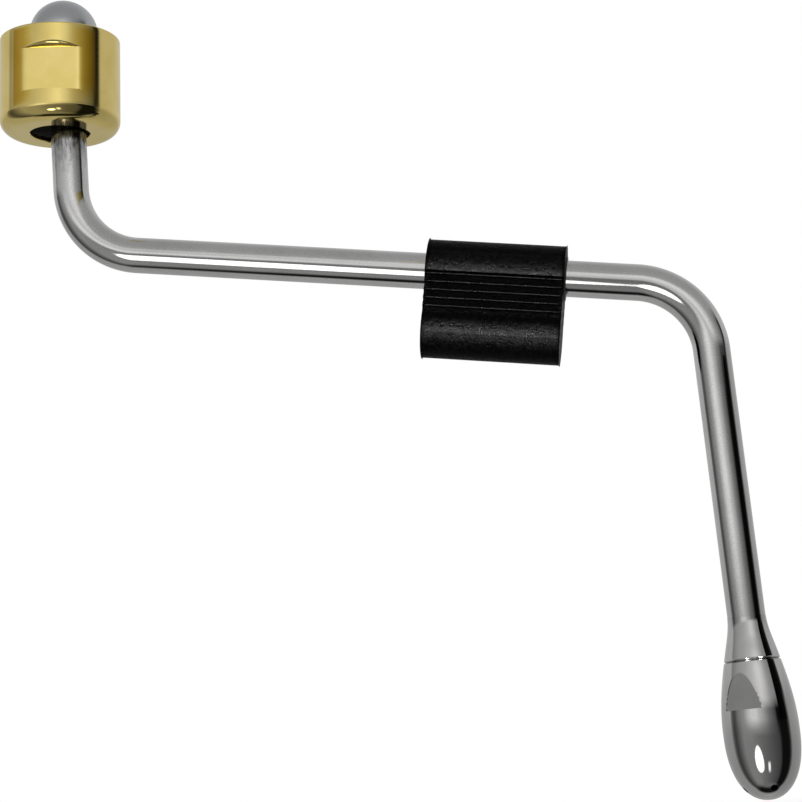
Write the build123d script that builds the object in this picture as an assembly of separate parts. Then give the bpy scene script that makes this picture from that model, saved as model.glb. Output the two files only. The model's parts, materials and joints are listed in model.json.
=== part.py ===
from build123d import *
import os
from math import atan2, cos, degrees, radians, sin, sqrt, tan

# Steam wand with a ball joint, a loose clamping nut, a heat-shield grip and a screwed tip.
# Millimetres and degrees. The origin is the centre of the ball. +Z runs up the upper leg of
# the pipe, and the pipe bends in the XZ plane, with its arm reaching out towards +X.

# ---- pipe ----
pipe_r = 5.0
pipe_wall = 1.0
bend_r = 21.5
upper_leg = 64.5          # ball centre to the first corner of the pipe's centre line
arm = 176.2               # first corner to second corner
lower_leg = 101.35        # second corner to the tip's seam
arm_slope = 9.0           # how far the arm falls below level
leg_lean = 1.5            # how far the lower leg leans outward

# ---- ball ----
ball_r = 9.75
inlet_r = 2.0
inlet_chamfer = 0.3
socket_floor_z = 0.5      # height in the ball at which the pipe's socket ends

# ---- clamping nut ----
nut_height = 27.6
nut_wall = 3.89           # from the thread's root to the outside
nut_land = 1.4            # height of the straight land round the bottom hole
nut_fillet = 4.0
nut_top_chamfer = 0.4
flat_cut = 1.9            # depth of each spanner flat
flat_low = 8.2            # heights of the flats' two ledges above the nut's bottom
flat_high = 20.7
flat_azimuth = 6.5        # flat's normal, turned from -Y towards +X
hole_lip = 1.31           # how much the ball is larger in radius than the floor's hole
thread_depth = 1.16
thread_pitch = 1.814
thread_turns = 9
nut_rest_z = 29.58        # ball centre down to the nut's bottom as it rests on the pipe

# ---- slip ring in the nut's floor ----
ring_height = 4.15

# ---- grip ----
grip_length = 37.8
grip_start = 82.6         # from the arm's straight start to the grip's near end
sleeve_wall = 2.55        # rubber round the liner in the upper lobe
foot_r = 7.8              # lower lobe
foot_drop = 16.4          # pipe axis to the lower lobe's centre
waist_wall = 0.75         # rubber beside the liner at the flat waist
waist_top = -1.4          # offset from the pipe axis at which the ridged band starts
rib_count = 5
rib_pitch = 2.25
rib_first = -2.0
rib_height = 0.7
rib_width = 0.6
liner_wall = 1.15
liner_proud = 0.4

# ---- tip and its ferrule ----
ferrule_length = 11.4
ferrule_edge = 0.2        # wall left at the ferrule's thin top edge
ferrule_floor = 1.8       # seam to the floor of the pipe's socket
ferrule_flare = 2.35      # how much the ferrule is larger in radius than the pipe
seam_chamfer = 0.2
belly_r = 9.93
belly_at = 18.0           # seam to the widest point
tip_length = 36.2
spigot_r = 4.95
spigot_length = 8.0
spigot_bore_r = 3.0
chamber_r = 4.3
chamber_length = 25.0
tip_flat_cut = 1.83       # depth of each spanner flat at the belly
tip_flat_low = 12.5       # seam to the flats' straight ledge
tip_flat_azimuth = -30.0  # flat's normal, turned from -Y towards +X
jet_r = 0.9
jet_count = 4
jet_azimuth = 10.0
jet_tilt = 45.0
jet_root = 27.0           # seam to the point where the jets meet on the axis
seal_section = 0.65
seal_seat = 1.5

# ---- clearances ----
braze_gap = 0.05          # pipe in its brazed sockets, and the spigot in the tip
run_gap = 0.05            # radial running fit of whatever turns or slides
face_gap = 0.05           # between faces that turn on each other
end_gap = 0.2             # past the ends of the pipe in its sockets
ball_passage = 2.3        # round the ball as it passes through the thread
rest_shift = 1.1          # how far the resting nut's axis passes from the ball's centre
rest_gap = 0.99           # from the rim of the resting nut's hole to the pipe


def turned(azimuth):
    """Angle about +Z, in degrees, of a direction turned from -Y towards +X."""
    return azimuth - 90


# ---- places that follow from the sizes ----
arm_dir = Vector(cos(radians(arm_slope)), 0, -sin(radians(arm_slope)))
leg_dir = Vector(sin(radians(leg_lean)), 0, -cos(radians(leg_lean)))
corner_1 = Vector(0, 0, -upper_leg)
corner_2 = corner_1 + arm_dir * arm
seam = corner_2 + leg_dir * lower_leg
bend_1_length = bend_r * tan(radians((90 - arm_slope) / 2))
arm_start = corner_1 + arm_dir * bend_1_length

liner_r = pipe_r + run_gap + liner_wall
lobe_r = liner_r + run_gap + sleeve_wall
waist_half = liner_r + run_gap + waist_wall
seam_r = pipe_r + ferrule_flare
thread_minor_r = ball_r + ball_passage
nut_r = thread_minor_r + thread_depth + nut_wall
nut_hole_r = ball_r - hole_lip

pipe_top_z = socket_floor_z - end_gap
pipe_end = seam - leg_dir * (ferrule_floor + end_gap)
seat_r = ball_r + run_gap
ring_low = nut_land + face_gap
ring_bottom_r = nut_hole_r + run_gap / 2
seat_height = ring_low + sqrt(seat_r**2 - ring_bottom_r**2)
hole_shift = nut_hole_r - pipe_r - rest_gap
nut_lean = degrees(atan2(hole_shift - rest_shift, nut_rest_z))
nut_axis = Vector(sin(radians(nut_lean)), 0, cos(radians(nut_lean)))
nut_bottom = Vector(-hole_shift, 0, -nut_rest_z)
nut_seat = nut_bottom + nut_axis * seat_height

nut_place = Location(tuple(nut_bottom), (0, nut_lean, 0))
tip_place = Location(tuple(seam), (0, -leg_lean, 0))
grip_plane = Plane(
    origin=arm_start + arm_dir * grip_start,
    x_dir=(0, 1, 0),
    z_dir=arm_dir,
)


def disc(radius, low, high):
    """A round bar on the local axis between two heights."""
    return Pos(0, 0, (low + high) / 2) * Cylinder(radius, high - low)


def steam_pipe():
    """Round tube swept along the two tangent bends."""
    path = FilletPolyline(
        (0, 0, pipe_top_z),
        tuple(corner_1),
        tuple(corner_2),
        tuple(pipe_end),
        radius=bend_r,
    )
    section = Circle(pipe_r) - Circle(pipe_r - pipe_wall)
    return sweep(Plane((0, 0, pipe_top_z), z_dir=(0, 0, -1)) * section, path=path)


def pivot_ball():
    """Ball with the pipe's socket below and the steam inlet through its top."""
    top = sqrt(ball_r**2 - (inlet_r + inlet_chamfer) ** 2)
    ball = Sphere(ball_r) - disc(ball_r, top, ball_r + 1)
    ball -= disc(pipe_r + braze_gap, -ball_r - 1, socket_floor_z)
    ball -= disc(inlet_r, socket_floor_z - 1, ball_r + 1)
    lip = Pos(0, 0, top - inlet_chamfer / 2)
    return ball - lip * Cone(inlet_r, inlet_r + inlet_chamfer, inlet_chamfer)


def nut_thread():
    """Half section of the thread's V grooves, which the nut's bore is cut with."""
    grooves = Sketch()
    for turn in range(thread_turns):
        z = nut_height - thread_pitch * (turn + 0.5)
        groove = Polygon(
            (thread_minor_r - 0.5, z + 0.45 * thread_pitch),
            (thread_minor_r, z + 0.42 * thread_pitch),
            (thread_minor_r + thread_depth, z + 0.06 * thread_pitch),
            (thread_minor_r + thread_depth, z - 0.06 * thread_pitch),
            (thread_minor_r, z - 0.42 * thread_pitch),
            (thread_minor_r - 0.5, z - 0.45 * thread_pitch),
            align=None,
        )
        grooves += groove
    return grooves


def swivel_nut():
    """Round nut, open at the top, with a floor hole, a thread and two spanner flats."""
    body = disc(nut_r, 0, nut_height)
    rim = body.edges().filter_by(GeomType.CIRCLE).sort_by(Axis.Z)
    body = fillet(rim[0], nut_fillet)
    rim = body.edges().filter_by(GeomType.CIRCLE).sort_by(Axis.Z)
    body = chamfer(rim[-1], nut_top_chamfer)
    body -= disc(nut_hole_r, -1, nut_land + 1)
    body -= disc(thread_minor_r, nut_land, nut_height + 1)
    body -= revolve(Plane.XZ * nut_thread(), Axis.Z)
    for side in (0, 180):
        cut = Box(2 * flat_cut, 2 * nut_r, flat_high - flat_low)
        middle = Pos(nut_r, 0, (flat_low + flat_high) / 2)
        body -= Rot(0, 0, turned(flat_azimuth) + side) * middle * cut
    return nut_place * body


def slip_ring():
    """Ring on the nut's floor whose hollow fits the underside of the ball."""
    outer = thread_minor_r - run_gap
    ring = disc(outer, ring_low, ring_low + ring_height)
    ring -= Pos(0, 0, seat_height) * Sphere(seat_r)
    return nut_place * ring


def grip_section():
    """Two lobes joined by a flat waist that carries the ribs."""
    low = -foot_drop
    lobe = Circle(lobe_r) - Pos(0, waist_top - lobe_r) * Rectangle(3 * lobe_r, 2 * lobe_r)
    foot = Pos(0, low) * Circle(foot_r)
    waist = Pos(0, (waist_top + low) / 2) * Rectangle(2 * waist_half, waist_top - low)
    section = lobe + foot + waist
    for rib in range(rib_count):
        offset = rib_first - rib * rib_pitch
        section += Pos(0, offset) * Rectangle(2 * (waist_half + rib_height), rib_width)
    return section


def grip_liner():
    """Bush that slides on the pipe and stands proud of both ends of the sleeve."""
    tube = Circle(liner_r) - Circle(pipe_r + run_gap)
    length = grip_length + 2 * liner_proud
    return extrude(grip_plane.offset(-liner_proud) * tube, length)


def grip_sleeve():
    """Two-lobed rubber sleeve on the liner."""
    hole = Circle(liner_r + run_gap)
    return extrude(grip_plane * (grip_section() - hole), grip_length)


def tip_ferrule():
    """Flared collar brazed to the pipe, with the spigot that the tip screws on."""
    bore = pipe_r + braze_gap
    top = bore + ferrule_edge
    flare = Spline(
        (top, 0, ferrule_length),
        (seam_r, 0, 0),
        tangents=[(0, 0, -1), (0.235, 0, -1)],
        tangent_scalars=[1.0, 0.9],
    )
    outline = flare + Polyline(
        (seam_r, 0, 0),
        (0, 0, 0),
        (0, 0, ferrule_length),
        (top, 0, ferrule_length),
    )
    collar = revolve(make_face(outline), Axis.Z)
    rim = collar.edges().filter_by(GeomType.CIRCLE).group_by(Axis.Z)[0]
    collar = chamfer(rim, seam_chamfer)
    collar += disc(spigot_r, -spigot_length, 1)
    collar -= disc(bore, ferrule_floor, ferrule_length + 1)
    collar -= disc(spigot_bore_r, -spigot_length - 1, ferrule_floor + 1)
    return tip_place * collar


def tip_seal_ring():
    """Sealing ring round the root of the spigot."""
    ring = Torus(spigot_r + (seal_seat + run_gap) / 2, seal_section)
    return tip_place * Pos(0, 0, -seal_seat / 2) * ring


def steam_tip():
    """Drop-shaped tip with a chamber, slanted jets and two spanner flats."""
    side = Spline(
        (seam_r, 0, 0),
        (0.893 * belly_r, 0, -0.444 * belly_at),
        (belly_r, 0, -belly_at),
        (0.938 * belly_r, 0, -0.718 * tip_length),
        (0.737 * belly_r, 0, -0.884 * tip_length),
        (0.4 * belly_r, 0, -0.967 * tip_length),
        (0, 0, -tip_length),
        tangents=[(0.235, 0, -1), (-1, 0, 0)],
    )
    outline = side + Polyline((0, 0, -tip_length), (0, 0, 0), (seam_r, 0, 0))
    tip = revolve(make_face(outline), Axis.Z)
    rim = tip.edges().filter_by(GeomType.CIRCLE).group_by(Axis.Z)[-1]
    tip = chamfer(rim, seam_chamfer)
    thread_r = spigot_r + braze_gap
    tip -= disc(thread_r + seal_seat, -seal_seat, 1)
    tip -= disc(thread_r, -spigot_length - 1, 1)
    tip -= disc(chamber_r, -chamber_length, 1)
    point = chamber_r * tan(radians(31))
    tip -= Pos(0, 0, -chamber_length - point / 2) * Cone(0, chamber_r, point)
    for flat in (0, 180):
        cut = Box(2 * tip_flat_cut, 2 * belly_r, tip_flat_low + 1)
        middle = Pos(belly_r, 0, (1 - tip_flat_low) / 2)
        tip -= Rot(0, 0, turned(tip_flat_azimuth) + flat) * middle * cut
    for jet in range(jet_count):
        spin = Rot(0, 0, turned(jet_azimuth) + jet * 360 / jet_count)
        reach = 2 * belly_r
        drill = Pos(0, 0, -jet_root) * Rot(0, 180 - jet_tilt, 0) * disc(jet_r, 0, reach)
        tip -= spin * drill
    return tip_place * tip


pieces = {
    "steam_pipe": steam_pipe,
    "pivot_ball": pivot_ball,
    "swivel_nut": swivel_nut,
    "slip_ring": slip_ring,
    "grip_liner": grip_liner,
    "grip_sleeve": grip_sleeve,
    "tip_ferrule": tip_ferrule,
    "tip_seal_ring": tip_seal_ring,
    "steam_tip": steam_tip,
}

os.makedirs("parts", exist_ok=True)
for name, make in pieces.items():
    export_step(make(), f"parts/{name}.step")
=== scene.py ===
"""Steam wand with a ball joint, a loose brass nut, a rubber grip and a screwed tip.

Lengths are millimetres, made into metres as a mesh is written, and angles are degrees. The
stage's lengths that are metres say so.
"""
import json

import bpy
import numpy as np
from mathutils import Matrix, Vector

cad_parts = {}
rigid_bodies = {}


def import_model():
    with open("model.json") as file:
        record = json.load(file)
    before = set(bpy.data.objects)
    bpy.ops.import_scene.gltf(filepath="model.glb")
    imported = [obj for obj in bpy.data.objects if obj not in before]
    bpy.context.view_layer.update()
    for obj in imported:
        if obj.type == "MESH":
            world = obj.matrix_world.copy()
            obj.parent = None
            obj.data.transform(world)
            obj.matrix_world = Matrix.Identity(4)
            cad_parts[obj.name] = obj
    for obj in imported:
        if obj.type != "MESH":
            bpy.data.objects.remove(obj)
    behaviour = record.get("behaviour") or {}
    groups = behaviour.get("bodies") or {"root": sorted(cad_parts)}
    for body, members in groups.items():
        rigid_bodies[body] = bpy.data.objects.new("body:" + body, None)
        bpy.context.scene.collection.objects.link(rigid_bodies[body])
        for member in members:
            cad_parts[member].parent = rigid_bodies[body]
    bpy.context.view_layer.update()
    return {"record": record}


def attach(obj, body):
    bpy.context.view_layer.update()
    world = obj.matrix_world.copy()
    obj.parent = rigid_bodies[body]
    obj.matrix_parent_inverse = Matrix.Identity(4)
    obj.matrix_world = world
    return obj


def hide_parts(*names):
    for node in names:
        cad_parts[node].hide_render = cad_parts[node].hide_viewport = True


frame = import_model()

MM = 0.001

# ---- pipe ----
PIPE_R = 5.0
PIPE_WALL = 1.0
BEND_R = 21.5
UPPER_LEG = 64.5
ARM = 176.2
LOWER_LEG = 101.35
ARM_SLOPE = 9.0
LEG_LEAN = 1.5
PIPE_TOP = 0.3
PIPE_END = 2.0            # seam up to the pipe's end in the ferrule
PIPE_UV = 0.01            # surface coordinate gained for each millimetre run

# ---- ball ----
BALL_R = 9.75
INLET_R = 2.0
INLET_LIP = 0.3
SOCKET_TOP = 0.5

# ---- nut, heights above its bottom ----
NUT_R = 17.1
NUT_HEIGHT = 27.6
NUT_FILLET = 4.0
NUT_EDGE = 0.4
HOLE_R = 8.44
HOLE_LAND = 1.4
HOLE_CHAMFER = 0.25
THREAD_R = 12.05
THREAD_DEPTH = 1.16
THREAD_PITCH = 1.814
THREAD_TURNS = 9
THREAD_ROWS = 14          # rows of the grid in one pitch
THREAD_CREST = 0.12       # share of half a pitch that is flat, on the crest and at the root
THREAD_LEAD = 1.3         # depth of the countersink at the mouth
THREAD_START = 0.1        # mouth down to the thread's first row
FLAT_HALF = 15.2          # nut's axis to each spanner flat
FLAT_LOW = 8.2
FLAT_HIGH = 20.7
FLAT_AZIMUTH = 6.5
FLAT_STEP = 0.12          # height of the step at the flats' lower edge
FLAT_FADE = 12.0          # degrees past a flat's edge that its softening still reaches
LEDGE_RISE = 1.7          # height of the rounded ledge over the middle of each flat
FLAT_SOFT = 0.16          # how far the flats' side edges are polished round
SEAT_HEIGHT = 6.388       # ball's centre when it is seated
RING_R = 12.0
RING_LOW = 1.45
RING_HIGH = 5.6
RING_SEAT_R = 9.8

# ---- grip ----
GRIP_LENGTH = 37.8
LOBE_R = 8.8
FOOT_R = 7.8
FOOT_DROP = 16.4
WAIST_HALF = 7.0
WAIST_TOP = -1.4
RIB_COUNT = 5
RIB_FIRST = -2.0
RIB_PITCH = 2.25
RIB_HEIGHT = 0.7
RIB_WIDTH = 0.6
GRIP_EDGE = 0.35
GROOVE_OUT = 0.15         # the step under the lobe stands this far off the waist
GROOVE_DOWN = 0.02
CREST_SHARE = 0.8         # rib's height above which the rubber counts as a crest
CREST_SHINE = 2.5         # shine of the crests, where the lobes' is 1, raised as a painted highlight
END_SHINE = 0.4
LINER_R = 6.2
LINER_PROUD = 0.4
LINER_EDGE = 0.25
RUN_GAP = 0.05

# ---- tip and ferrule, heights from the seam, up is positive ----
FERRULE_TOP = 11.4
FERRULE_TOP_R = 5.06
FERRULE_BORE = 5.05
FERRULE_FLOOR = 1.8
SEAM_R = 7.35
SEAM_EDGE = 0.4
SPIGOT_R = 4.95
SPIGOT_LENGTH = 8.0
SPIGOT_BORE = 3.0
BELLY_R = 9.93
BELLY_AT = 18.0
TIP_LENGTH = 36.2
TIP_FLAT_HALF = 8.1
TIP_FLAT_LOW = 12.5
TIP_FLAT_AZIMUTH = -30.0
TIP_FLAT_STEP = 0.1
SOCKET_R = 5.0
SOCKET_LENGTH = 9.0
CHAMBER_R = 4.3
CHAMBER_LENGTH = 25.0
DRILL_POINT = 0.6         # a drill's point beside its radius
JET_R = 0.9
JET_COUNT = 4
JET_AZIMUTH = 10.0
JET_ROOT = 27.0
JET_TILT = 45.0
JET_DEPTH = 3.5
JET_CATCH = 0.165         # points this near a jet's rim slide on to it
JET_CLEAR = 3.0           # a jet starts at least this far from its root
NOSE_FINE = 28.0          # depth below which the tip's rows follow the nose

# ---- fineness of the grids ----
ROUND = 192               # columns round a turned piece
TUBE_ROUND = 96


def rad(degrees):
    """Degrees as radians."""
    return np.radians(degrees)


def joint(name):
    """Position in millimetres and axis of one of the frame's joints."""
    for one in frame["record"]["behaviour"]["joints"]:
        if one["name"] == name:
            return np.array(one["pos_m"]) / MM, np.array(one["axis"], float)


# ---- meshes ----
def write_mesh(name, points, faces, uv=None, sharp=35):
    """Mesh in metres from points in millimetres, smooth but for edges sharper than an angle."""
    mesh = bpy.data.meshes.new(name)
    mesh.from_pydata((points * MM).tolist(), [], faces)
    if uv is not None:
        layer = mesh.uv_layers.new(name="surface")
        corners = np.zeros(len(mesh.loops), dtype=np.int32)
        mesh.loops.foreach_get("vertex_index", corners)
        layer.uv.foreach_set("vector", uv[corners].ravel().astype(np.float32))
    mesh.validate()
    mesh.update()
    mesh.shade_smooth()
    mesh.set_sharp_from_angle(angle=float(rad(sharp)))
    piece = bpy.data.objects.new(name, mesh)
    bpy.context.scene.collection.objects.link(piece)
    return piece


def outward(points, faces):
    """The faces, turned round if the volume that they close comes out negative."""
    first = np.array([face[:3] for face in faces])
    a, b, c = points[first[:, 0]], points[first[:, 1]], points[first[:, 2]]
    volume = np.einsum("ij,ij->i", a, np.cross(b, c)).sum()
    quads = np.array([face for face in faces if len(face) == 4])
    if len(quads):
        a, b, c = points[quads[:, 0]], points[quads[:, 2]], points[quads[:, 3]]
        volume += np.einsum("ij,ij->i", a, np.cross(b, c)).sum()
    return faces if volume > 0 else [face[::-1] for face in faces]


def grid_faces(rows, columns, closed_rows):
    """Quads of a grid that closes on itself along its columns, and along its rows if asked."""
    i = np.arange(rows if closed_rows else rows - 1)[:, None]
    j = np.arange(columns)[None, :]
    below, after = (i + 1) % rows, (j + 1) % columns
    quads = np.stack([
        i * columns + j, below * columns + j, below * columns + after, i * columns + after,
    ], axis=-1)
    return quads.reshape(-1, 4).tolist()


def close_grid(name, grid, poles=None, uv=None, sharp=35):
    """Piece from a grid of points: a ring of rows, or rows between two poles."""
    rows, columns, _ = grid.shape
    points = grid.reshape(-1, 3)
    faces = grid_faces(rows, columns, poles is None)
    if poles is not None:
        points = np.vstack([points, poles])
        start, end = rows * columns, rows * columns + 1
        last = (rows - 1) * columns
        for j in range(columns):
            after = (j + 1) % columns
            faces.append([start, j, after])
            faces.append([end, last + after, last + j])
        if uv is not None:
            uv = np.vstack([uv, uv[:1], uv[-1:]])
    return write_mesh(name, points, outward(points, faces), uv, sharp)


def dense(profile, step):
    """A profile's corners with straight runs divided to a step, as (radius, height) rows."""
    profile = np.array(profile, float)
    rows = []
    for here, there in zip(profile[:-1], profile[1:]):
        count = max(1, int(np.ceil(np.linalg.norm(there - here) / step)))
        share = np.arange(count)[:, None] / count
        rows.append(here + (there - here) * share)
    rows.append(profile[-1:])
    return np.vstack(rows)


def arc(centre, radius, start, end, count):
    """Points (radius, height) of a circular arc between two angles, both ends included."""
    angle = rad(np.linspace(start, end, count))
    return np.stack([centre[0] + radius * np.cos(angle), centre[1] + radius * np.sin(angle)], 1)


def place(local, origin, z_axis):
    """Local points carried to an origin with the local Z along an axis, with local Y kept."""
    z = np.array(z_axis, float) / np.linalg.norm(z_axis)
    y = np.array([0.0, 1.0, 0.0])
    x = np.cross(y, z)
    return np.array(origin) + local @ np.array([x, y, z])


def angles_with(edges, count):
    """Even angles round a circle, with the given ones put in exactly."""
    even = np.arange(count) * 360.0 / count
    gap = 180.0 / count
    near = np.abs((even[:, None] - np.array(edges)[None, :] + 180) % 360 - 180).min(1)
    return np.sort(np.concatenate([even[near > gap * 0.6], np.array(edges) % 360]))


def turned_grid(profile, angles):
    """Rows of a profile carried round the local Z axis."""
    angle = rad(angles)[None, :]
    radius, height = profile[:, :1], profile[:, 1:]
    return np.stack([
        radius * np.cos(angle), radius * np.sin(angle), height + 0 * angle,
    ], axis=-1)


# ---- path of the pipe's centre line ----
ARM_DIR = np.array([np.cos(rad(ARM_SLOPE)), 0, -np.sin(rad(ARM_SLOPE))])
LEG_DIR = np.array([np.sin(rad(LEG_LEAN)), 0, -np.cos(rad(LEG_LEAN))])
CORNER_1 = np.array([0, 0, -UPPER_LEG])
CORNER_2 = CORNER_1 + ARM * ARM_DIR
SEAM = CORNER_2 + LOWER_LEG * LEG_DIR


def bend(corner, before, after, count):
    """Arc tangent to two runs that meet at a corner, as centre-line points and headings."""
    turn = np.arccos(before @ after)
    reach = BEND_R * np.tan(turn / 2)
    normal = after - (before @ after) * before
    normal /= np.linalg.norm(normal)
    centre = corner - reach * before + BEND_R * normal
    angle = np.linspace(0, turn, count)[:, None]
    points = centre + BEND_R * (np.sin(angle) * before - np.cos(angle) * normal)
    return points, np.cos(angle) * before + np.sin(angle) * normal


def pipe_path():
    """Centre-line points, headings and length run, for three runs and two bends."""
    down = np.array([0, 0, -1.0])
    first, first_heading = bend(CORNER_1, down, ARM_DIR, 61)
    second, second_heading = bend(CORNER_2, ARM_DIR, LEG_DIR, 61)
    runs = [
        (np.array([0, 0, PIPE_TOP]), first[0], down, 30),
        (first[-1], second[0], ARM_DIR, 70),
        (second[-1], SEAM - PIPE_END * LEG_DIR, LEG_DIR, 40),
    ]
    points, headings = [], []
    for (start, end, heading, count), arc_part in zip(runs, (
            (first, first_heading), (second, second_heading), None)):
        share = np.linspace(0, 1, count)[:, None]
        inner = slice(0, None) if arc_part is None else slice(0, -1)
        points.append((start + (end - start) * share)[inner])
        headings.append(np.repeat(heading[None], count, 0)[inner])
        if arc_part is not None:
            points.append(arc_part[0][:-1])
            headings.append(arc_part[1][:-1])
    points, headings = np.vstack(points), np.vstack(headings)
    run = np.concatenate([[0], np.cumsum(np.linalg.norm(np.diff(points, axis=0), axis=1))])
    return points, headings, run


def steam_pipe():
    """A circle carried square to the path: down the outside, and back up the bore."""
    points, headings, run = pipe_path()
    across = np.array([0, 1.0, 0])
    beside = np.cross(headings, across)
    angle = rad(np.arange(TUBE_ROUND) * 360 / TUBE_ROUND)

    def sleeve(radius):
        ring = (np.cos(angle)[None, :, None] * across
                + np.sin(angle)[None, :, None] * beside[:, None, :])
        return points[:, None, :] + radius * ring

    grid = np.vstack([sleeve(PIPE_R), sleeve(PIPE_R - PIPE_WALL)[::-1]])
    length = np.concatenate([run, run[::-1]])
    uv = np.stack([
        np.repeat(length[:, None], TUBE_ROUND, 1) * PIPE_UV,
        np.repeat((np.abs(np.degrees(angle) - 180) / 180)[None], len(length), 0),
    ], axis=-1).reshape(-1, 2)
    return close_grid("wand_pipe", grid, uv=uv, sharp=50)


def pivot_ball():
    """A ball turned from an arc, with the lip, the inlet and the pipe's socket down its middle."""
    bore = PIPE_R + RUN_GAP
    lip = INLET_R + INLET_LIP
    low = -np.degrees(np.arccos(bore / BALL_R))
    high = np.degrees(np.arccos(lip / BALL_R))
    top = BALL_R * np.sin(rad(high))
    outer = arc((0, 0), BALL_R, low, high, 97)
    inside = dense([
        (lip, top), (INLET_R, top - INLET_LIP), (INLET_R, SOCKET_TOP),
        (bore, SOCKET_TOP), (bore, outer[0][1]),
    ], 1.5)
    profile = np.vstack([outer, inside[1:-1]])
    grid = turned_grid(profile, np.arange(ROUND) * 360 / ROUND)
    return close_grid("joint_ball", grid)


def thread_wave(phase):
    """A V thread's depth share: 0 on the crest and 1 at the root, with straight sides."""
    share = np.abs((phase % 1.0) - 0.5) * 2
    return np.clip((share - THREAD_CREST) / (1 - 2 * THREAD_CREST), 0, 1)


def swivel_nut():
    """Turned body. In the flats' band the radius is cut back to the flat's plane.

    In the bore the radius follows a V wave of height plus turn, which makes a helix.
    """
    chord = np.degrees(np.arccos(FLAT_HALF / NUT_R))
    facing = FLAT_AZIMUTH - 90
    fine = [facing + side + at for side in (0, 180) for at in np.linspace(-chord, chord, 67)]
    angles = angles_with(fine, ROUND)
    band = [FLAT_LOW, FLAT_LOW + FLAT_STEP, FLAT_HIGH, FLAT_HIGH + LEDGE_RISE]
    outer = np.vstack([
        dense([(HOLE_R + HOLE_CHAMFER, 0), (NUT_R - NUT_FILLET, 0)], 1.0)[:-1],
        arc((NUT_R - NUT_FILLET, NUT_FILLET), NUT_FILLET, -90, 0, 25),
        dense([(NUT_R, NUT_FILLET), (NUT_R, band[0])], 1.0)[1:],
        dense([(NUT_R, band[1]), (NUT_R, band[2])], 0.6),
        dense([(NUT_R, band[2]), (NUT_R, band[3])], 0.08)[1:],
        dense([(NUT_R, band[3]), (NUT_R, NUT_HEIGHT - NUT_EDGE)], 1.0)[1:-1],
        arc((NUT_R - NUT_EDGE, NUT_HEIGHT - NUT_EDGE), NUT_EDGE, 0, 90, 7),
        dense([(NUT_R - NUT_EDGE, NUT_HEIGHT), (THREAD_R + THREAD_DEPTH, NUT_HEIGHT)], 1.0)[1:],
    ])
    thread_low = NUT_HEIGHT - THREAD_PITCH * (THREAD_TURNS + 0.5)
    heights = np.arange(NUT_HEIGHT - THREAD_START, thread_low, -THREAD_PITCH / THREAD_ROWS)
    thread = np.stack([np.full(len(heights), THREAD_R), heights], 1)
    inner = dense([
        (THREAD_R, thread_low), (THREAD_R, HOLE_LAND), (HOLE_R, HOLE_LAND),
        (HOLE_R, HOLE_CHAMFER), (HOLE_R + HOLE_CHAMFER, 0),
    ], 1.0)[:-1]
    profile = np.vstack([outer, thread, inner])
    radius = np.repeat(profile[:, :1], len(angles), 1)
    height = np.repeat(profile[:, 1:], len(angles), 1)
    row = np.arange(len(profile))[:, None]
    in_band = (row < len(outer)) & (height >= band[1] - 1e-6) & (height <= band[3] + 1e-6)
    off = np.abs((angles[None, :] - facing + 90) % 180 - 90)
    plane = FLAT_HALF / np.cos(rad(np.minimum(off, 80)))
    rounded = NUT_R - FLAT_SOFT * np.log1p(np.exp((NUT_R - plane) / FLAT_SOFT))
    middle = np.clip(1 - (off / chord) ** 2, 0, 1) ** 1.2
    rise = np.clip((height - FLAT_HIGH) / np.maximum(LEDGE_RISE * middle, 1e-3), 0, 1)
    ledge = rounded + (NUT_R - rounded) * np.sqrt(1 - (1 - rise) ** 2)
    rounded = np.where(height > FLAT_HIGH + 1e-6, ledge, rounded)
    radius = np.where(in_band & (off <= chord + FLAT_FADE), rounded, radius)
    on_thread = (row >= len(outer)) & (row < len(outer) + len(thread))
    turn = height / THREAD_PITCH - angles[None, :] / 360
    fade = np.clip((height - thread_low) / THREAD_PITCH, 0, 1)
    lead = np.clip(1 - (NUT_HEIGHT - height) / THREAD_LEAD, 0, 1)
    depth = THREAD_DEPTH * np.maximum(thread_wave(turn) * fade, lead)
    radius = np.where(on_thread, radius + depth, radius)
    angle = rad(angles)[None, :]
    grid = np.stack([radius * np.cos(angle), radius * np.sin(angle), height], -1)
    return nut_place(grid, "brass_nut", 28)


def nut_place(grid, name, sharp):
    """A piece of the nut carried to the nut's own axis, with its bottom where the frame has it."""
    seat, axis = joint("nut_spin")
    bottom = seat - SEAT_HEIGHT * axis / np.linalg.norm(axis)
    shape = grid.shape
    moved = place(grid.reshape(-1, 3), bottom, axis).reshape(shape)
    return close_grid(name, moved, sharp=sharp)


def slip_ring():
    """Ring turned from a block whose inner side is an arc about the seated ball's centre."""
    low = np.degrees(np.arcsin((RING_LOW - SEAT_HEIGHT) / RING_SEAT_R))
    high = np.degrees(np.arcsin((RING_HIGH - SEAT_HEIGHT) / RING_SEAT_R))
    seat = arc((0, SEAT_HEIGHT), RING_SEAT_R, high, low, 17)
    outer = dense([tuple(seat[-1]), (RING_R, RING_LOW), (RING_R, RING_HIGH), tuple(seat[0])], 1.0)
    profile = np.vstack([seat, outer[1:-1]])
    return nut_place(turned_grid(profile, np.arange(ROUND) * 360 / ROUND), "seat_ring", 35)


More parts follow.
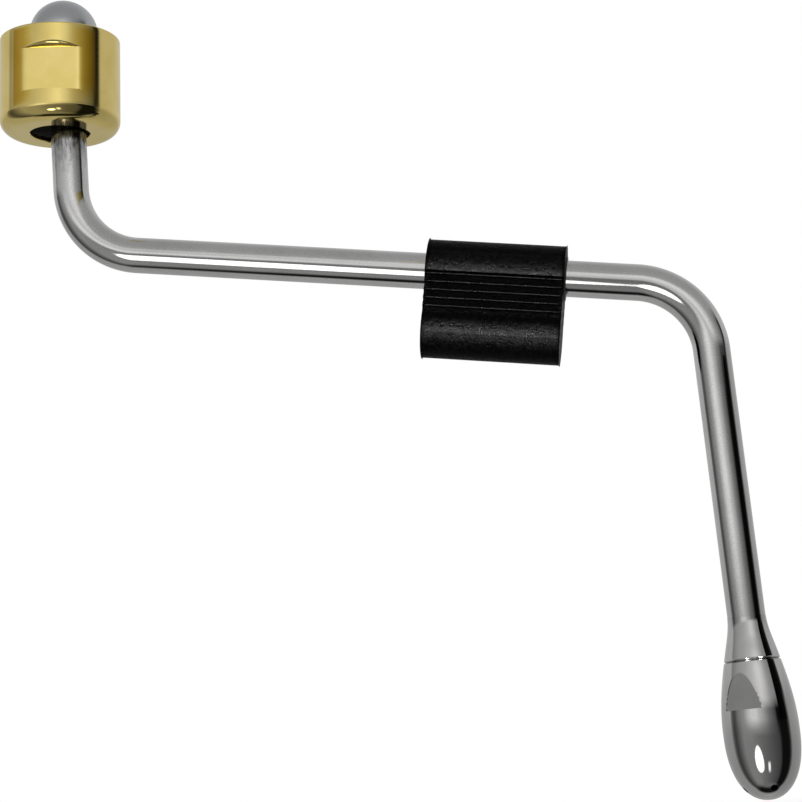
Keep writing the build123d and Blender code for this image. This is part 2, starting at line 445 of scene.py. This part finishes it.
def half_outline():
    """Right half of the grip's section from its top round to its bottom, as (side, up) points.

    A lobe's arc, a step in to the flat waist, ribs with round crests, and the foot's arc.
    """
    step_side = np.sqrt(LOBE_R**2 - WAIST_TOP**2)
    start = np.degrees(np.arctan2(WAIST_TOP, step_side))
    lobe = arc((0, 0), LOBE_R, 90, start, 48)
    groove = np.array([(WAIST_HALF + GROOVE_OUT, WAIST_TOP - GROOVE_DOWN)])
    ribs = []
    for rib in range(RIB_COUNT):
        middle = RIB_FIRST - rib * RIB_PITCH
        ribs.append([(WAIST_HALF, middle + RIB_WIDTH * 0.75)])
        crest = arc((WAIST_HALF + RIB_HEIGHT - RIB_WIDTH / 2, middle), RIB_WIDTH / 2, 80, -80, 7)
        ribs.append(crest)
        ribs.append([(WAIST_HALF, middle - RIB_WIDTH * 0.75)])
        if rib < RIB_COUNT - 1:
            ribs.append([(WAIST_HALF, middle - RIB_PITCH / 2)])
    join = np.degrees(np.arccos(WAIST_HALF / FOOT_R))
    foot = arc((0, -FOOT_DROP), FOOT_R, join, -90, 60)
    return np.vstack([lobe, groove] + [np.array(part) for part in ribs] + [foot])


def grip_outline():
    """Both halves of the section, round from the top and back to it."""
    right = half_outline()
    left = right[1:-1][::-1] * np.array([-1, 1])
    return np.vstack([right, left])


def inset(outline, amount):
    """The outline moved inwards along its own normals."""
    tangent = np.roll(outline, -1, 0) - np.roll(outline, 1, 0)
    tangent /= np.linalg.norm(tangent, axis=1)[:, None]
    return outline + amount * np.stack([tangent[:, 1], -tangent[:, 0]], 1)


def grip_sleeve():
    """The section carried along the arm, with rolled end edges and the liner's hole inside."""
    middle, axis = joint("grip_spin")
    axis = axis / np.linalg.norm(axis)
    up = np.cross(axis, [0, 1.0, 0])
    outline = grip_outline()
    half = GRIP_LENGTH / 2
    turn = rad(np.linspace(90, 0, 6))
    edge = [(GRIP_EDGE * (1 - np.sin(t)), half - GRIP_EDGE * (1 - np.cos(t))) for t in turn]
    stations = [(inset(outline, -shrink), along) for shrink, along in edge[::-1]]
    run = np.linspace(half - GRIP_EDGE, -half + GRIP_EDGE, 40)[1:-1]
    body = [(outline, along) for along in run]
    far = [(ring, -along) for ring, along in stations[::-1]]
    bearing = np.unwrap(np.arctan2(outline[:, 1], outline[:, 0]))
    bearing = np.minimum.accumulate(bearing)
    hole = (LINER_R + RUN_GAP) * np.stack([np.cos(bearing), np.sin(bearing)], 1)
    inside = [(hole, along) for along in np.linspace(-half, half, 12)]
    rings = stations + body + far + inside
    across = np.array([0, 1.0, 0])
    grid = np.array([
        middle + along * axis + ring[:, :1] * across + ring[:, 1:] * up for ring, along in rings
    ])
    # shine share: 1 on the lobes, 0 on the waist and grooves as painted shade, raised on the
    # crests as a painted highlight
    ribs_half = RIB_COUNT * RIB_PITCH / 2
    from_ribs = np.abs(outline[:, 1] - WAIST_TOP + ribs_half - RIB_WIDTH)
    crest = np.abs(outline[:, 0]) > WAIST_HALF + RIB_HEIGHT * CREST_SHARE
    lobes = np.where(from_ribs > ribs_half + RIB_HEIGHT, 1.0, 0.0)
    proud = np.where(crest, CREST_SHINE, lobes)
    ends = [0 * proud + END_SHINE]
    share = np.concatenate(
        ends * len(stations) + [proud] * len(body) + ends * (len(far) + len(inside))
    )
    uv = np.stack([share, 0 * share], 1)
    return close_grid("rubber_grip", grid, uv=uv, sharp=50)


def grip_liner():
    """A thin bush, its ends rounded, on the arm inside the grip."""
    middle, axis = joint("grip_spin")
    half = GRIP_LENGTH / 2 + LINER_PROUD
    inner = PIPE_R + RUN_GAP
    corner = LINER_R - LINER_EDGE
    profile = np.vstack([
        arc((corner, half - LINER_EDGE), LINER_EDGE, 90, 0, 6),
        arc((corner, -half + LINER_EDGE), LINER_EDGE, 0, -90, 6),
        dense([(inner, -half), (inner, half)], 4.0),
    ])
    grid = turned_grid(profile, np.arange(TUBE_ROUND) * 360 / TUBE_ROUND)
    moved = place(grid.reshape(-1, 3), middle, axis).reshape(grid.shape)
    return close_grid("grip_bush", moved)


def flare_radius(height):
    """Ferrule's radius: from the pipe's to the seam's, easing in at the top."""
    share = np.clip(1 - height / FERRULE_TOP, 0, 1)
    ease = 0.42 * share**2 * (3 - 2 * share) + 0.58 * share**1.7
    return FERRULE_TOP_R + (SEAM_R - FERRULE_TOP_R) * ease


def tip_radius(depth):
    """Tip's radius below the seam: a quarter sine out to the belly, then a full round nose."""
    out = SEAM_R + (BELLY_R - SEAM_R) * np.sin(rad(90 * np.clip(depth / BELLY_AT, 0, 1))) ** 0.95
    nose = np.clip((depth - BELLY_AT) / (TIP_LENGTH - BELLY_AT), 0, 1)
    return np.where(depth < BELLY_AT, out, BELLY_R * (1 - nose**2.5) ** (1 / 2.1))


def tip_ferrule():
    """Flared collar turned from its easing curve, with the socket and the spigot inside."""
    heights = np.linspace(FERRULE_TOP, SEAM_EDGE, 60)
    flare = np.stack([flare_radius(heights), heights], 1)
    shoulder = arc((SEAM_R - SEAM_EDGE, SEAM_EDGE), SEAM_EDGE, 0, -90, 9)
    inside = dense([
        (SEAM_R - SEAM_EDGE, 0), (SPIGOT_R, 0), (SPIGOT_R, -SPIGOT_LENGTH),
        (SPIGOT_BORE, -SPIGOT_LENGTH), (SPIGOT_BORE, FERRULE_FLOOR),
        (FERRULE_BORE, FERRULE_FLOOR), (FERRULE_BORE, FERRULE_TOP),
    ], 1.0)
    profile = np.vstack([flare, shoulder[1:-1], inside])
    grid = turned_grid(profile, np.arange(ROUND) * 360 / ROUND)
    moved = place(grid.reshape(-1, 3), SEAM, -LEG_DIR).reshape(grid.shape)
    plain = np.zeros((len(profile) * ROUND, 2))
    return close_grid("tip_collar", moved, uv=plain)


def drill(points, skin):
    """Jets: points near a jet's rim slide on to its circle, and those inside go down its axis.

    Only points of the outer skin move. Those on a rim or in a jet are given back too, as a mask.
    """
    flat = points.reshape(-1, 3).copy()
    root = np.array([0, 0, -JET_ROOT])
    drilled = np.zeros(len(flat), bool)
    for jet in range(JET_COUNT):
        azimuth = rad(JET_AZIMUTH - 90 + jet * 360 / JET_COUNT)
        axis = np.array([
            np.sin(rad(JET_TILT)) * np.cos(azimuth),
            np.sin(rad(JET_TILT)) * np.sin(azimuth),
            -np.cos(rad(JET_TILT)),
        ])
        offset = flat - root
        along = offset @ axis
        across = offset - along[:, None] * axis
        distance = np.linalg.norm(across, axis=1)
        outside = skin.ravel() & (along > JET_CLEAR)
        rim = outside & (np.abs(distance - JET_R) < JET_CATCH)
        inside = outside & (distance <= JET_R - JET_CATCH)
        to_rim = (JET_R / np.maximum(distance, 1e-6))[:, None]
        flat = np.where(rim[:, None], root + along[:, None] * axis + across * to_rim, flat)
        flat = np.where(inside[:, None], flat - JET_DEPTH * axis, flat)
        drilled |= inside | rim
    return flat.reshape(points.shape), drilled


def steam_tip():
    """Turned drop with two flats cut to planes, a socket and a chamber, and drilled jets."""
    facing = TIP_FLAT_AZIMUTH - 90
    angles = np.arange(ROUND) * 360 / ROUND
    nose = np.concatenate([
        np.linspace(SEAM_EDGE, TIP_FLAT_LOW, 42),
        np.linspace(TIP_FLAT_LOW + TIP_FLAT_STEP, NOSE_FINE, 40),
        NOSE_FINE + (TIP_LENGTH - NOSE_FINE) * np.sin(rad(np.linspace(0, 90, 46)[1:-1])),
    ])
    side = np.stack([tip_radius(nose), -nose], 1)
    point = CHAMBER_LENGTH + CHAMBER_R * DRILL_POINT
    inside = dense([
        (CHAMBER_R * 0.1, -point), (CHAMBER_R, -CHAMBER_LENGTH), (CHAMBER_R, -SOCKET_LENGTH),
        (SOCKET_R, -SOCKET_LENGTH), (SOCKET_R, 0), (SEAM_R - SEAM_EDGE, 0),
    ], 1.2)
    profile = np.vstack([inside, side])
    radius = np.repeat(profile[:, :1], ROUND, 1)
    height = np.repeat(profile[:, 1:], ROUND, 1)
    row = np.arange(len(profile))[:, None]
    cut = (row >= len(inside)) & (-height <= TIP_FLAT_LOW + 1e-6)
    off = (angles[None, :] - facing + 90) % 180 - 90
    plane = TIP_FLAT_HALF / np.cos(rad(np.clip(off, -60, 60)))
    radius = np.where(cut, np.minimum(radius, plane), radius)
    angle = rad(angles)[None, :]
    grid = np.stack([radius * np.cos(angle), radius * np.sin(angle), height], -1)
    outside = np.repeat(row >= len(inside), ROUND, 1)
    grid, drilled = drill(grid, outside)
    # the first surface coordinate marks the jets, whose walls get painted shade
    uv = np.stack([drilled.astype(float), outside.ravel().astype(float)], 1)
    moved = place(grid.reshape(-1, 3), SEAM, -LEG_DIR).reshape(grid.shape)
    poles = place(np.array([[0, 0, -point], [0, 0, -TIP_LENGTH]]), SEAM, -LEG_DIR)
    return close_grid("drop_tip", moved, poles=poles, uv=uv, sharp=20)


# ---- materials ----
class Maker:
    """Small helper that adds and links the nodes of one material or world."""

    def __init__(self, tree):
        self.tree = tree
        tree.nodes.clear()

    def node(self, kind, **settings):
        made = self.tree.nodes.new(kind)
        for key, value in settings.items():
            setattr(made, key, value)
        return made

    def link(self, source, target):
        self.tree.links.new(source, target)
        return target

    def value(self, operation, first, second=None, third=None):
        """A math node on numbers or sockets."""
        made = self.node("ShaderNodeMath", operation=operation)
        for index, item in enumerate((first, second, third)):
            if item is None:
                continue
            if isinstance(item, (int, float)):
                made.inputs[index].default_value = item
            else:
                self.link(item, made.inputs[index])
        return made.outputs[0]

    def ramp(self, source, stops, interpolation="LINEAR"):
        """A colour ramp from (place, colour) stops."""
        made = self.node("ShaderNodeValToRGB")
        band = made.color_ramp
        band.interpolation = interpolation
        while len(band.elements) > 1:
            band.elements.remove(band.elements[-1])
        for index, (at, colour) in enumerate(stops):
            item = band.elements[0] if index == 0 else band.elements.new(at)
            item.position = at
            if isinstance(colour, (int, float)):
                colour = (colour, colour, colour)
            item.color = (*colour, 1)
        self.link(source, made.inputs[0])
        return made.outputs[0]

    def noise(self, vector, scale, detail=3.0, roughness=0.5):
        made = self.node("ShaderNodeTexNoise")
        made.inputs["Scale"].default_value = scale
        made.inputs["Detail"].default_value = detail
        made.inputs["Roughness"].default_value = roughness
        self.link(vector, made.inputs["Vector"])
        return made.outputs["Fac"]

    def stretch(self, vector, scale):
        made = self.node("ShaderNodeMapping")
        made.inputs["Scale"].default_value = scale
        self.link(vector, made.inputs["Vector"])
        return made.outputs[0]

    def bump(self, height, strength, distance):
        made = self.node("ShaderNodeBump")
        made.inputs["Strength"].default_value = strength
        made.inputs["Distance"].default_value = distance
        self.link(height, made.inputs["Height"])
        return made.outputs[0]

    def blend(self, share, first, second):
        made = self.node("ShaderNodeMix", data_type="RGBA")
        self.link(share, made.inputs["Factor"])
        for item, socket in ((first, made.inputs["A"]), (second, made.inputs["B"])):
            if isinstance(item, tuple):
                socket.default_value = (*item, 1)
            else:
                self.link(item, socket)
        return made.outputs["Result"]


def surface(name, metallic=0.0):
    """A new material with one Principled shader, its maker and its Object coordinates."""
    material = bpy.data.materials.new(name)
    material.use_nodes = True
    make = Maker(material.node_tree)
    shader = make.node("ShaderNodeBsdfPrincipled")
    shader.inputs["Metallic"].default_value = metallic
    output = make.node("ShaderNodeOutputMaterial")
    make.link(shader.outputs[0], output.inputs["Surface"])
    where = make.node("ShaderNodeTexCoord")
    return material, make, shader, where


def polished_steel(name, colour, dark, smooth, rough, wave, grit, stain_and_shade=None):
    """Polished steel: faint clouds in its tone and gloss, and a slight ripple in its surface.

    The grit is how much of the tone comes from fine grain rather than from the clouds. The last
    argument is a function that gives a dark skin's share, its colour and the roughness that it
    adds: on the pipe it is painted shade in the nut's hole with a heat tint below the nut, and on
    the tip it is painted shade down the jets.
    """
    material, make, shader, where = surface(name, 1.0)
    spot = where.outputs["Object"]
    cloud = make.noise(spot, 90, 4)
    fine = make.noise(spot, 900, 2)
    grain = make.noise(spot, 3200, 2)
    shade = make.value("MULTIPLY_ADD", grain, grit, make.value("MULTIPLY", cloud, 1.4 - grit))
    tone = make.ramp(shade, [(0.45, dark), (0.95, colour)])
    gloss = make.value("ADD", make.value("MULTIPLY", cloud, rough - smooth), smooth)
    gloss = make.value("ADD", gloss, make.value("MULTIPLY", fine, 0.02))
    if stain_and_shade is not None:
        # dark skin blended in: painted shade, with a heat tint below the nut on the pipe
        share, skin, dullness = stain_and_shade(make, where)
        tone = make.blend(share, tone, skin)
        gloss = make.value("ADD", gloss, make.value("MULTIPLY", share, dullness))
    make.link(tone, shader.inputs["Base Color"])
    make.link(gloss, shader.inputs["Roughness"])
    ripple = make.noise(spot, 60, 1)
    make.link(make.bump(ripple, wave, 0.0004), shader.inputs["Normal"])
    return material


def heat_tint_and_shade(make, where):
    """Dark skin on the pipe's top end, by length run, broken up by mottling: painted shade inside
    the nut's hole, and a heat tint just below the nut.
    """
    run = make.node("ShaderNodeSeparateXYZ")
    make.link(where.outputs["UV"], run.inputs[0])
    mottle = make.noise(make.stretch(where.outputs["Object"], (1, 1, 0.3)), 900, 4, 0.65)
    edge = make.value("MULTIPLY_ADD", mottle, 0.16, run.outputs[0])
    share = make.ramp(edge, [(0.39, 1.0), (0.43, 0.45), (0.5, 0.0)])
    skin = make.ramp(mottle, [(0.38, (0.05, 0.051, 0.054)), (0.64, (0.27, 0.272, 0.28))])
    return share, skin, 0.15


def jet_painted_shade(make, where):
    """Painted shade: dark walls down the jets, which the surface coordinates mark, standing in for
    the dark of deep holes.
    """
    mark = make.node("ShaderNodeSeparateXYZ")
    make.link(where.outputs["UV"], mark.inputs[0])
    share = make.ramp(mark.outputs[0], [(0.3, 0.0), (0.6, 1.0)])
    return share, (0.02, 0.02, 0.02), 0.4


def brass():
    """Polished brass with fine turning lines round the nut and faint tarnish clouds."""
    material, make, shader, where = surface("polished_brass", 1.0)
    spot = where.outputs["Object"]
    cloud = make.noise(spot, 120, 4)
    tone = make.ramp(cloud, [(0.3, (0.78, 0.61, 0.19)), (0.7, (0.86, 0.7, 0.27))])
    make.link(tone, shader.inputs["Base Color"])
    lines = make.noise(make.stretch(spot, (30, 30, 4000)), 1, 2)
    gloss = make.value("ADD", make.value("MULTIPLY", lines, 0.05), 0.05)
    make.link(gloss, shader.inputs["Roughness"])
    make.link(make.bump(lines, 0.04, 0.0002), shader.inputs["Normal"])
    return material


def rubber():
    """Black moulded rubber: mottled satin skin with a fine grain; its shine is taken away down the
    waist and grooves as painted shade, and raised on the rib crests as a painted highlight.
    """
    material, make, shader, where = surface("black_rubber")
    spot = where.outputs["Object"]
    mottle = make.noise(spot, 700, 5, 0.65)
    grain = make.noise(spot, 2600, 3)
    tone = make.ramp(mottle, [(0.35, 0.001), (0.7, 0.003)])
    make.link(tone, shader.inputs["Base Color"])
    gloss = make.ramp(mottle, [(0.38, 0.22), (0.62, 0.44)])
    proud = make.node("ShaderNodeSeparateXYZ")
    make.link(where.outputs["UV"], proud.inputs[0])
    # the shine share sets the specular level: painted shade in the grooves, painted highlight on
    # the crests
    sheen = make.value("MULTIPLY_ADD", proud.outputs[0], 0.018, 0.003)
    make.link(sheen, shader.inputs["Specular IOR Level"])
    make.link(gloss, shader.inputs["Roughness"])
    relief = make.value("ADD", mottle, make.value("MULTIPLY", grain, 0.4))
    make.link(make.bump(relief, 1.0, 0.0003), shader.inputs["Normal"])
    return material


def dull_plastic(name, colour, gloss):
    """Dark moulded plastic with a faint mottle."""
    material, make, shader, where = surface(name)
    mottle = make.noise(where.outputs["Object"], 500, 3)
    tone = make.ramp(mottle, [(0.3, tuple(c * 0.75 for c in colour)), (0.7, colour)])
    make.link(tone, shader.inputs["Base Color"])
    rough = make.value("ADD", make.value("MULTIPLY", mottle, 0.15), gloss)
    make.link(rough, shader.inputs["Roughness"])
    return material


# ---- pieces on the frame ----
steel = polished_steel(
    "polished_tube_steel", (0.7, 0.695, 0.69), (0.52, 0.515, 0.51),
    smooth=0.04, rough=0.09, wave=0.12, grit=0.9, stain_and_shade=heat_tint_and_shade,
)
tip_steel = polished_steel(
    "polished_tip_steel", (0.6, 0.595, 0.59), (0.48, 0.475, 0.47),
    smooth=0.03, rough=0.07, wave=0.1, grit=0.4, stain_and_shade=jet_painted_shade,
)
ball_steel = polished_steel(
    "satin_ball_steel", (0.56, 0.57, 0.58), (0.46, 0.47, 0.48),
    smooth=0.2, rough=0.3, wave=0.1, grit=0.7,
)
gold = brass()
ptfe = dull_plastic("dark_ptfe", (0.05, 0.05, 0.05), 0.35)
nylon = dull_plastic("liner_nylon", (0.02, 0.02, 0.02), 0.4)
black = rubber()
PIECES = (
    (steam_pipe, "steam_pipe", "wand", "pipe_steel", steel),
    (pivot_ball, "pivot_ball", "wand", "ball_steel", ball_steel),
    (tip_ferrule, "tip_ferrule", "wand", "tip_steel", tip_steel),
    (steam_tip, "steam_tip", "wand", "tip_steel", tip_steel),
    (swivel_nut, "swivel_nut", "nut", "nut_brass", gold),
    (slip_ring, "slip_ring", "nut_carrier", "ring_ptfe", ptfe),
    (grip_liner, "grip_liner", "grip_carrier", "liner_plastic", nylon),
    (grip_sleeve, "grip_sleeve", "grip", "grip_rubber", black),
)
for build, node, body, slot, material in PIECES:
    piece = build()
    piece.data.materials.append(material)
    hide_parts(node)
    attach(piece, body)

seal = dull_plastic("seal_rubber_skin", (0.03, 0.03, 0.03), 0.5)
for item in bpy.data.objects:
    if item.type == "MESH" and item.name.startswith("tip_seal_ring"):
        item.data.materials.clear()
        item.data.materials.append(seal)

# ---- studio ----
FLOOR_Z = -242.0
FLOOR_R = 1500.0
LAMP_OFF = 3.0            # metres from the part to its lamps
MIDDLE = (0.09, 0, -0.11)  # middle of the part in metres
BRIGHT = 0.5              # a ramp's white beside the paper's, so that a ramp can pass 1
PALE_FROM = 0.3           # metres from the axis at which the floor starts to fade to white
PALE_TO = 0.5
GLOW = 0.55               # light of its own that the floor goes without in the middle
LENS = 91.17
CAMERA_AT = (146.03, -544.26, -213.0)
CAMERA_YAW = 5.94
CAMERA_PITCH = 10.07
CAMERA_ROLL = -4.31
CARD_COLUMNS = 17


def studio_world():
    """White room for the eye, and bright and dark rings of card for the reflections.

    A ring's stops are its brightness by angle. The rings lie one above the other: rolled, under,
    low, high, and rolled again.
    """
    world = bpy.data.worlds.new("studio")
    bpy.context.scene.world = world
    world.use_nodes = True
    make = Maker(world.node_tree)
    where = make.node("ShaderNodeTexCoord")
    split = make.node("ShaderNodeSeparateXYZ")
    make.link(where.outputs["Generated"], split.inputs[0])
    x, y, z = split.outputs
    full = 1 / 360

    def turn(first, second):
        """An angle as a share of a full turn, with 0 in the middle at a half."""
        angle = make.value("ARCTAN2", first, second)
        return make.value("MULTIPLY_ADD", angle, full * 180 / np.pi, 0.5)

    def lights(pairs):
        return [(0.5 + at * full, light * BRIGHT) for at, light in pairs]

    half_up = make.value("MULTIPLY_ADD", z, 0.5, 0.5)

    def rising(low, high):
        """0 below one elevation and 1 above another."""
        return make.ramp(half_up, [
            (0.5 + 0.5 * np.sin(rad(low)), 0.0), (0.5 + 0.5 * np.sin(rad(high)), 1.0),
        ])

    # tilt 0 is straight down, -90 is level in front, 90 is level behind, and 180 is overhead
    tilt = turn(y, make.value("MULTIPLY", z, -1.0))
    rolled = make.ramp(tilt, lights([
        (-180, 0.42), (-150, 0.42), (-124, 0.5), (-112, 0.8), (-60, 0.8),
        (-46, 0.5), (-34, 0.22), (-19, 0.26), (-9, 0.01), (6, 0.01),
        (11, 0.32), (18, 0.5), (60, 0.56), (88, 0.6), (135, 0.6), (165, 0.46), (180, 0.42),
    ]))
    # side 0 is straight in front, 90 is to the right, and 180 is behind
    side = turn(x, make.value("MULTIPLY", y, -1.0))
    high = make.ramp(side, lights([
        (-180, 0.62), (-99, 0.6), (-94, 0.32), (-86, 0.36), (-71, 0.46), (-51, 0.54),
        (-34, 0.6), (-10, 0.78), (6, 0.98), (14, 1.02), (28, 0.8), (36, 0.6),
        (44, 0.46), (54, 0.38), (66, 0.28), (76, 0.2), (82, 0.1), (85, 0.015), (93, 0.015),
        (99, 0.57), (180, 0.62),
    ]))
    low = make.ramp(side, lights([
        (-180, 0.6), (-103, 0.55), (-97, 0.2), (-90, 0.1), (-82, 0.11), (-74, 0.24), (-61, 0.35),
        (-51, 0.43), (-41, 0.68), (-27, 1.0), (-13, 1.02), (-4, 0.8), (6, 0.62),
        (15, 0.46), (24, 0.29), (34, 0.2), (46, 0.1), (51, 0.006), (82, 0.006),
        (90, 0.1), (97, 0.42), (180, 0.6),
    ]))
    under = make.ramp(side, lights([
        (-180, 0.46), (-104, 0.42), (-97, 0.16), (-88, 0.06), (-78, 0.13), (-58, 0.34),
        (-35, 0.33), (-12, 0.24), (8, 0.18), (30, 0.12), (50, 0.08), (58, 0.008),
        (84, 0.008), (90, 0.08), (97, 0.36), (180, 0.46),
    ]))
    # from straight down to straight up
    room = make.blend(rising(-70, -58), rolled, under)
    room = make.blend(rising(-2, 6), room, low)
    room = make.blend(rising(11, 16), room, high)
    room = make.blend(rising(28, 37), room, rolled)
    # small white card low in front
    wide = make.ramp(side, [
        (0.5 + 6 * full, 0.0), (0.5 + 9 * full, 0.9), (0.5 + 13 * full, 0.9),
        (0.5 + 16 * full, 0.0),
    ])
    tall = make.value("SUBTRACT", rising(-42, -36), rising(-28, -24))
    cards = make.blend(make.value("MULTIPLY", wide, tall), room, (0.95, 0.95, 0.95))
    light_path = make.node("ShaderNodeLightPath")
    shade = make.node("ShaderNodeBackground")
    shade.inputs["Strength"].default_value = 1 / BRIGHT
    make.link(cards, shade.inputs["Color"])
    white = make.node("ShaderNodeBackground")
    white.inputs["Color"].default_value = (1, 1, 1, 1)
    choose = make.node("ShaderNodeMixShader")
    make.link(light_path.outputs["Is Camera Ray"], choose.inputs[0])
    make.link(shade.outputs[0], choose.inputs[1])
    make.link(white.outputs[0], choose.inputs[2])
    output = make.node("ShaderNodeOutputWorld")
    make.link(choose.outputs[0], output.inputs["Surface"])


def studio_floor():
    """A wide round pale floor below the tip, fading to plain white away from the middle."""
    angle = rad(np.arange(64) * 360 / 64)
    rim = np.stack([FLOOR_R * np.cos(angle), FLOOR_R * np.sin(angle), np.full(64, FLOOR_Z)], 1)
    floor = write_mesh("studio_floor", rim, [list(range(64))])
    material, make, shader, where = surface("floor_paper")
    grain = make.noise(where.outputs["Object"], 40, 2)
    flat = make.stretch(where.outputs["Object"], (1, 1, 0))
    length = make.node("ShaderNodeVectorMath", operation="LENGTH")
    make.link(flat, length.inputs[0])
    near = make.ramp(length.outputs["Value"], [(PALE_FROM, 1.0), (PALE_TO, 0.0)], "EASE")
    paper = make.ramp(grain, [(0.3, 0.86), (0.7, 0.9)])
    make.link(make.blend(near, (0.0, 0.0, 0.0), paper), shader.inputs["Base Color"])
    shader.inputs["Roughness"].default_value = 0.8
    shader.inputs["Specular IOR Level"].default_value = 0.0
    shader.inputs["Emission Color"].default_value = (1, 1, 1, 1)
    make.link(make.value("MULTIPLY_ADD", near, -GLOW, 1.0), shader.inputs["Emission Strength"])
    floor.data.materials.append(material)
    floor.visible_glossy = False
    floor.visible_shadow = False


def arc_card(name, centre, away, sides, heights, stops):
    """Upright strip of an arc round a centre, seen only in polished surfaces.

    Its sides are angles from the front to the right, and its heights are its lower and upper
    edges. Its glow runs from one side to the other by the stops, with a faint mottle.
    """
    count = CARD_COLUMNS
    side = rad(np.linspace(*sides, count))
    foot = np.stack([
        centre[0] + away * np.sin(side), centre[1] - away * np.cos(side), 0 * side,
    ], 1)
    points = np.vstack([foot + [0, 0, height] for height in heights])
    across = np.tile(np.linspace(0, 1, count), 2)
    faces = [[i, i + 1, i + 1 + count, i + count] for i in range(count - 1)]
    card = write_mesh(name, points, faces, uv=np.stack([across, 0 * across], 1))
    material, make, shader, where = surface(name + "_felt")
    split = make.node("ShaderNodeSeparateXYZ")
    make.link(where.outputs["UV"], split.inputs[0])
    mottle = make.noise(where.outputs["Object"], 60, 2)
    glow = make.ramp(make.value("MULTIPLY_ADD", mottle, 0.04, split.outputs[0]), stops)
    make.link(glow, shader.inputs["Emission Color"])
    shader.inputs["Emission Strength"].default_value = 1.0
    shader.inputs["Base Color"].default_value = (0, 0, 0, 1)
    shader.inputs["Roughness"].default_value = 1.0
    shader.inputs["Specular IOR Level"].default_value = 0.0
    card.data.materials.append(material)
    card.visible_camera = False
    card.visible_diffuse = False
    card.visible_shadow = False


def aim(lamp, side, rise):
    """Sets a lamp off to a side and a height in degrees, facing back to the part."""
    side, rise = rad(side), rad(rise)
    source = Vector((
        np.sin(side) * np.cos(rise), -np.cos(side) * np.cos(rise), np.sin(rise),
    ))
    lamp.rotation_mode = "QUATERNION"
    lamp.rotation_quaternion = source.to_track_quat("Z", "Y")
    lamp.location = Vector(MIDDLE) + LAMP_OFF * source


def lamp_for(data, pieces, side, rise):
    """A lamp that the named pieces alone take, and that shows only as a shine on them."""
    lamp = bpy.data.objects.new(data.name, data)
    aim(lamp, side, rise)
    bpy.context.scene.collection.objects.link(lamp)
    only = bpy.data.collections.new(data.name + "_takes")
    for piece in pieces:
        only.objects.link(bpy.data.objects[piece])
    lamp.light_linking.receiver_collection = only
    lamp.visible_diffuse = False
    lamp.visible_camera = False


def round_lamp(name, light, width, pieces, side, rise):
    """A far round lamp, its light in watts a square metre and its width in degrees."""
    data = bpy.data.lights.new(name, "SUN")
    data.energy = light
    data.angle = float(rad(width))
    lamp_for(data, pieces, side, rise)


def white_card(name, light, wide, tall, pieces, side, rise):
    """A far white oval, its brightness beside the paper's and its two widths in degrees."""
    data = bpy.data.lights.new(name, "AREA")
    data.shape = "ELLIPSE"
    data.size = float(2 * LAMP_OFF * np.tan(rad(wide / 2)))
    data.size_y = float(2 * LAMP_OFF * np.tan(rad(tall / 2)))
    data.energy = light * np.pi * np.pi / 4 * data.size * data.size_y
    lamp_for(data, pieces, side, rise)


def camera():
    """Camera a little below the arm, looking slightly up through a long lens."""
    data = bpy.data.cameras.new("camera")
    data.sensor_width = 36
    data.lens = LENS
    data.clip_start = 0.01
    data.clip_end = 20
    made = bpy.data.objects.new("camera", data)
    yaw, pitch, roll = rad(CAMERA_YAW), rad(CAMERA_PITCH), rad(CAMERA_ROLL)
    forward = np.array([
        -np.sin(yaw) * np.cos(pitch), np.cos(yaw) * np.cos(pitch), np.sin(pitch),
    ])
    level = np.array([np.cos(yaw), np.sin(yaw), 0])
    above = np.cross(level, forward)
    right = np.cos(roll) * level + np.sin(roll) * above
    up = np.cross(right, forward)
    turn = Matrix(np.stack([right, up, -forward], 1).tolist()).to_4x4()
    made.matrix_world = Matrix.Translation(tuple(np.array(CAMERA_AT) * MM)) @ turn
    bpy.context.scene.collection.objects.link(made)
    bpy.context.scene.camera = made


studio_world()
studio_floor()
arc_card("dark_card", SEAM, 60.0, (56, 80), (-205, -100), [(0.3, 0.002), (0.7, 0.004)])
arc_card("gold_card_left", (0, 0), 150.0, (-78, -34), (24, 61), [
    (0.0, (0.17, 0.11, 0.03)), (0.07, (0.31, 0.23, 0.08)), (0.55, (0.41, 0.34, 0.14)),
    (0.8, (0.5, 0.45, 0.28)), (1.0, (0.6, 0.58, 0.48)),
])
arc_card("gold_card_right", (0, 0), 150.0, (36, 83), (16, 42), [
    (0.0, (0.58, 0.55, 0.43)), (0.25, (0.42, 0.37, 0.2)), (0.5, (0.29, 0.235, 0.07)),
    (0.75, (0.18, 0.135, 0.03)), (1.0, (0.06, 0.045, 0.02)),
])
round_lamp("grip_lamp", 17.0, 8.0, ["rubber_grip"], -6.0, -17.0)
round_lamp("nut_lamp", 0.16, 13.0, ["brass_nut"], -5.0, -40.0)
for name, side in (("seam_lamp_left", -24.0), ("seam_lamp_right", 36.0)):
    round_lamp(name, 3.0, 13.0, ["tip_collar"], side, -30.0)
steels = ["wand_pipe", "tip_collar", "drop_tip"]
white_card("steel_card", 1.9, 25.0, 32.0, steels, -19.0, -26.5)
camera()
bpy.context.scene.view_settings.view_transform = "Standard"
